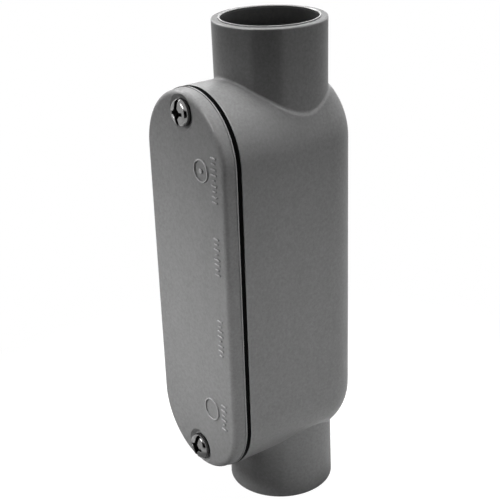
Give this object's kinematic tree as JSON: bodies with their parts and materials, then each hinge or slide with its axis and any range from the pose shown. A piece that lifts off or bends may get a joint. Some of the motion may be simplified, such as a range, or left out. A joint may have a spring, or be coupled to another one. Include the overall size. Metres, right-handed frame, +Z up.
{
  "type": "conduit body",
  "caption": "Straight-through conduit body in grey plastic: long round-ended housing with a socket hub at each end, gasket, and a removable front cover held by screws.",
  "frame": {"origin": "on the hub axis, in the plane of the lower hub's mouth, which the part stands on", "axes": "+Z up along the conduit run, towards the upper hub; -Y out through the cover; +X to the right of a person who faces the cover"},
  "size_m": [0.0472, 0.0624, 0.1813],
  "materials": {
    "housing_plastic": "satin moulded grey rigid PVC",
    "cover_plastic": "satin moulded grey rigid PVC, fine texture",
    "gasket_foam": "matt black closed-cell foam",
    "screw_steel": "bright zinc-plated steel"
  },
  "bodies": {
    "housing": {"housing": "housing_plastic"},
    "cover": {"cover": "cover_plastic", "gasket": "gasket_foam"},
    "upper_screw": {"upper_cover_screw": "screw_steel"},
    "lower_screw": {"lower_cover_screw": "screw_steel"}
  },
  "joints": [
    {"name": "cover_lift", "type": "slide", "parent": "housing", "child": "cover", "axis": [0, -1, 0], "range_m": [0, 0.00794]},
    {"name": "upper_screw_turn", "type": "hinge", "parent": "cover", "child": "upper_screw", "pos_m": [0, -0.03648, 0.15492], "axis": [0, -1, 0], "range_deg": [0, 2700]},
    {"name": "lower_screw_turn", "type": "hinge", "parent": "cover", "child": "lower_screw", "pos_m": [0, -0.03648, 0.02638], "axis": [0, -1, 0], "range_deg": [0, 2700]}
  ],
  "couplings": [
    {"joint": "upper_screw_turn", "follows": "cover_lift", "rad_per_m": 5936.8},
    {"joint": "lower_screw_turn", "follows": "cover_lift", "rad_per_m": 5936.8}
  ]
}
